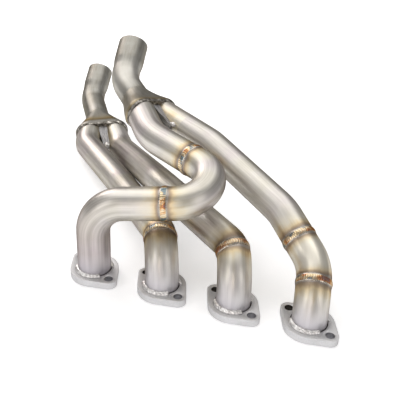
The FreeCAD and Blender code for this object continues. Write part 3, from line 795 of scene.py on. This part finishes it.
def outlet_piece(name, mouth, turn, lead):
    """Outlet from the collector's neck through one bend to a slip end, swaged out. Lead is its first run."""
    offset, along = turned(mouth.axis, leave, turn, COLLECTOR_LENGTH - MOUTH_DEPTH)
    start = mouth.centre + mouth.axis * MOUTH_DEPTH + offset
    reach = tangent_length(along, leave, OUTLET_BEND)
    corner = start + along * (lead + reach)
    route = Route([start, corner, corner + leave * (reach + OUTLET_RUN)], [OUTLET_BEND])
    bm = bmesh.new()
    layer = bm.verts.layers.float_vector.new("unbent")
    plain = route.length - SLIP_LENGTH
    swage = plain - SLIP_EASE
    marks = [m for m in route.stops(0.0, plain, RING_SPACING) if m < swage - 0.5]
    marks += [swage + SLIP_BLEND * k / SWAGE_STEPS for k in range(SWAGE_STEPS + 1)]
    marks += [marks[-1] + (route.length - marks[-1]) * k / SLIP_STEPS for k in range(1, SLIP_STEPS + 1)]
    ring, edges = open_ring(bm, facing(*route.at(0.0)), TUBE_RADIUS, layer, 0.0)
    for before, after in zip(marks, marks[1:]):
        ring, edges = extend(bm, edges, layer, after)
        bmesh.ops.transform(bm, matrix=route.step(before, after - before), verts=ring)
        if after > swage:
            t = min(1.0, (after - swage) / SLIP_BLEND)
            radius = TUBE_RADIUS + (SLIP_RADIUS - TUBE_RADIUS) * t * t * (3 - 2 * t)
            middle = route.at(after)[0]
            for v in ring:
                v.co = middle + (v.co - middle).normalized() * radius
    mark_from_mouth(bm, layer, COLLECTOR_LENGTH)
    thicken(bm, [route.at(s)[0] for s in marks])
    return to_piece(name, bm)


# Side, mouth, turn and lead, how much further the heat seems to the collector, and the outlet's finish
for name, mouth, turn, lead, cool, finish in (
        ("left", left_mouth, 1.0, 50.5, 0.0, SHEET),
        # The right outlet has a painted highlight on its bend
        ("right", right_mouth, 15.0, 23.0, 15.0, HIGHLIGHTED_SHEET)):
    piece = collector_piece("shown_%s_collector" % name, mouth, math.radians(turn), cool)
    finish_piece(piece, name + "_collector", SHEET)
    piece = outlet_piece("shown_%s_outlet" % name, mouth, math.radians(turn), lead)
    finish_piece(piece, name + "_outlet", finish)


# Pieces whose shape comes from the CAD node: merged, cut finer where they are hand-made, and eased
def from_node(name, finest=None, lumps=0.0, sharp=SHARP_FORMED, mouth=None):
    """Piece from a node's own mesh. Finest is the edge length to cut it down to, lumps how far they stand
    out, and a mouth gives a filler bar its place on the draw lines."""
    bm = bmesh.new()
    bm.from_mesh(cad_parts[name].data)
    bmesh.ops.scale(bm, vec=(1 / MM, 1 / MM, 1 / MM), verts=bm.verts[:])
    bmesh.ops.remove_doubles(bm, verts=bm.verts[:], dist=0.01)
    if finest:
        for _ in range(CUT_ROUNDS):
            long_edges = [e for e in bm.edges if e.calc_length() > finest]
            if not long_edges:
                break
            bmesh.ops.subdivide_edges(bm, edges=long_edges, cuts=1, use_grid_fill=False)
            bmesh.ops.triangulate(bm, faces=[f for f in bm.faces if len(f.verts) > 3])
    if mouth:
        layer = bm.verts.layers.float_vector.new("unbent")
        undo = mouth.matrix().inverted()
        for v in bm.verts:
            v[layer] = undo @ v.co
    if lumps:
        bm.normal_update()
        for v in bm.verts:
            lump = noise.noise(v.co * 0.30 + Vector((5.0, 0, 0))) + 0.5 * noise.noise(v.co * 0.8)
            v.co += v.normal * lumps * lump
    return to_piece("shown_" + name, bm, sharp)


def reach_tubes(piece, mouth):
    """Widens a filler bar's edges until they meet the tubes on both sides."""
    place = mouth.matrix()
    undo = place.inverted()
    for v in piece.data.vertices:
        local = undo @ (v.co / MM)
        height = min(TUBE_RADIUS, abs(local.y))
        edge = MOUTH_HALF_SPACING - math.sqrt(TUBE_RADIUS ** 2 - height ** 2) + FILLER_OVERLAP
        if abs(local.x) > FILLER_WIDTH / 2 - 0.5 and edge > abs(local.x):
            local.x = math.copysign(edge, local.x)
            v.co = place @ local * MM


def darken_holes(piece, port_x):
    """Gives the walls of a flange's two bolt holes and its socket's edge a painted shade. The far hole lies
    deep in shade and gets the socket's darker painted shade."""
    piece.data.materials.append(DRILLED)
    piece.data.materials.append(SOCKET)
    line = math.radians(BOLT_LINE_ANGLE)
    for face in piece.data.polygons:
        middle = face.center / MM
        in_socket = middle.z > SOCKET_LEDGE and math.hypot(middle.x - port_x, middle.y) < TUBE_RADIUS + 2
        if in_socket and abs(face.normal.z) < 0.9:
            face.material_index = 2
        for side in (-1, 1):
            x = middle.x - port_x - side * BOLT_SPACING / 2 * math.cos(line)
            y = middle.y - side * BOLT_SPACING / 2 * math.sin(line)
            if math.hypot(x, y) < BOLT_HOLE / 2 + 0.05 and abs(face.normal.z) < 0.3:
                face.material_index = 1 if side > 0 else 2


def dab(piece, port_x, seed):
    """Raises a fillet bead into the overlapping dabs of a hand-fed weld."""
    # The normals are copied first, because Blender works them all out again once a vertex has moved
    for v, normal in [(v, v.normal.copy()) for v in piece.data.vertices]:
        x = v.co.x / MM - port_x
        y = v.co.y / MM
        radius = math.hypot(x, y)
        wander = noise.noise(Vector((x * 0.12, y * 0.12, seed)))
        phase = (math.atan2(y, x) * radius / DAB_PITCH + 0.9 * wander) % 1.0
        proud = clamp((radius - TUBE_RADIUS) / DAB_RISE_WIDTH) * clamp(v.co.z / MM - FLANGE_THICKNESS)
        v.co += normal * MM * proud * (0.6 * (1 - abs(2 * phase - 1) ** 2) - 0.25 + 0.6 * wander)


for number, port_x in enumerate(ports, 1):
    name = "flange_%d" % number
    darken_holes(finish_piece(from_node(name), name, PLATE), port_x)
    for word in ("front", "rear"):
        name = "flange_%d_%s_weld" % (number, word)
        piece = from_node(name, finest=FILLET_FINENESS, sharp=SHARP_BEAD)
        dab(finish_piece(piece, name, SILVER), port_x, number)
for side, mouth in (("left", left_mouth), ("right", right_mouth)):
    name = side + "_mouth_weld"
    piece = from_node(name, finest=MOUTH_WELD_FINENESS, lumps=MOUTH_WELD_LUMPS, sharp=SHARP_LUMPY)
    finish_piece(piece, name, CRUMPLED)
    for word in ("upper", "lower"):
        name = "%s_%s_filler" % (side, word)
        reach_tubes(finish_piece(from_node(name, mouth=mouth), name, BAR), mouth)
    bm = bmesh.new()
    tip = mouth.matrix() @ Matrix.Translation((0, FILLER_TIP + BLOB_RISE, -FILLER_LENGTH))
    blob = tip @ Matrix.Diagonal((*BLOB_RADII, 1))
    bmesh.ops.create_icosphere(bm, subdivisions=4, radius=1.0, matrix=blob)
    for v in bm.verts:
        v.co += (v.co - tip.translation).normalized() * BLOB_LUMPS * noise.noise(v.co * 0.35)
    finish_piece(to_piece(side + "_filler_tip_weld", bm, SHARP_LUMPY), None, SILVER)


# Floor, lights and camera
FLOOR_HALF = 14.0
FLOOR_DROP = 0.0002
FLOOR_CENTRE = (0.05, 0.2, 0)


def paper_floor():
    """Matt white paper sweep: it shows the soft shadows of the part and is white to the camera elsewhere."""
    material = bpy.data.materials.new("paper_sweep_matt_white")
    material.use_nodes = True
    tree = material.node_tree
    shader = tree.nodes["Principled BSDF"]
    shader.inputs["Base Color"].default_value = colour("f5f6f8")
    shader.inputs["Roughness"].default_value = 0.9
    shader.inputs["Specular IOR Level"].default_value = 0.1
    shader.inputs["Emission Color"].default_value = (1, 1, 1, 1)
    path = add_node(tree, "ShaderNodeLightPath")
    seen = maths(tree, "MAXIMUM", path.outputs["Is Camera Ray"], path.outputs["Is Glossy Ray"])
    seen = maths(tree, "MAXIMUM", seen, path.outputs["Is Transmission Ray"])
    away = add_node(
        tree, "ShaderNodeVectorMath", {"operation": "DISTANCE"}, i0=object_place(tree), i1=FLOOR_CENTRE)
    lift = add_node(
        tree, "ShaderNodeMapRange", Value=away.outputs["Value"], From_Min=0.25, From_Max=1.1,
        To_Min=0.36, To_Max=0.6)
    tree.links.new(maths(tree, "MULTIPLY", seen, lift.outputs[0]), shader.inputs["Emission Strength"])
    return material


def softbox(name, place, aim, width, height, power, shade):
    """Rectangular lamp at a place, aimed at a point, in metres and watts."""
    data = bpy.data.lights.new(name, "AREA")
    data.shape = "RECTANGLE"
    data.size = width
    data.size_y = height
    data.energy = power
    data.color = colour(shade)[:3]
    lamp = new_object(name, data)
    lamp.location = place
    lamp.rotation_euler = (Vector(aim) - Vector(place)).to_track_quat("-Z", "Y").to_euler()


bm = bmesh.new()
bmesh.ops.create_grid(bm, x_segments=1, y_segments=1, size=FLOOR_HALF)
floor_mesh = bpy.data.meshes.new("floor")
bm.to_mesh(floor_mesh)
bm.free()
floor = new_object("floor", floor_mesh)
floor_mesh.materials.append(paper_floor())
floor.location.z = -FLOOR_DROP

world = bpy.data.worlds.new("studio")
bpy.context.scene.world = world
world.use_nodes = True
background = world.node_tree.nodes["Background"]
background.inputs["Color"].default_value = colour("e8e7e6")
background.inputs["Strength"].default_value = 0.4

softbox("key_overhead", (-0.2, 0.6, 1.9), (0.03, 0.15, 0.05), 2.8, 2.0, 23, "fffdfa")
softbox("fill_right", (1.9, -0.75, 1.0), (0.15, 0.0, 0.05), 0.6, 1.5, 5, "fffbf8")
softbox("fill_left", (-0.95, -1.5, 0.9), (0.1, 0.0, 0.05), 0.6, 1.4, 6, "fffbf8")
softbox("front_strip", (0.25, -1.5, 0.7), (0.15, 0.0, 0.05), 0.25, 1.3, 3.5, "fff6f0")
softbox("back_left", (-1.5, 1.1, 1.15), (-0.05, 0.2, 0.05), 0.9, 0.9, 10, "fff6f2")

# Camera at the photograph's angle: degrees, millimetres, and the frame taken as 400 pixels wide
VIEW_PITCH = 29.177
VIEW_YAW = -17.720
VIEW_ROLL = 3.090
VIEW_TARGET = Vector((94.25, 138.58, 60.0))
VIEW_DISTANCE = 908.1
FOCAL_PIXELS = 648.18
FRAME_PIXELS = 400
SENSOR = 36.0
NEAREST_SEEN = 0.01

pitch = math.radians(VIEW_PITCH)
yaw = math.radians(VIEW_YAW)
roll = math.radians(VIEW_ROLL)
level = Vector((math.sin(yaw), math.cos(yaw), 0))
right = Vector((math.cos(yaw), -math.sin(yaw), 0))
ahead = level * math.cos(pitch) - UP * math.sin(pitch)
above = level * math.sin(pitch) + UP * math.cos(pitch)
rolled_right = right * math.cos(roll) + above * math.sin(roll)
rolled_above = above * math.cos(roll) - right * math.sin(roll)
camera_data = bpy.data.cameras.new("camera")
camera_data.sensor_fit = "HORIZONTAL"
camera_data.sensor_width = SENSOR
camera_data.lens = FOCAL_PIXELS / FRAME_PIXELS * SENSOR
camera_data.clip_start = NEAREST_SEEN
camera = new_object("camera", camera_data)
view_frame = Matrix((rolled_right, rolled_above, -ahead)).transposed().to_4x4()
camera.matrix_world = Matrix.Translation((VIEW_TARGET - ahead * VIEW_DISTANCE) * MM) @ view_frame
bpy.context.scene.camera = camera
bpy.context.scene.view_settings.view_transform = "Standard"
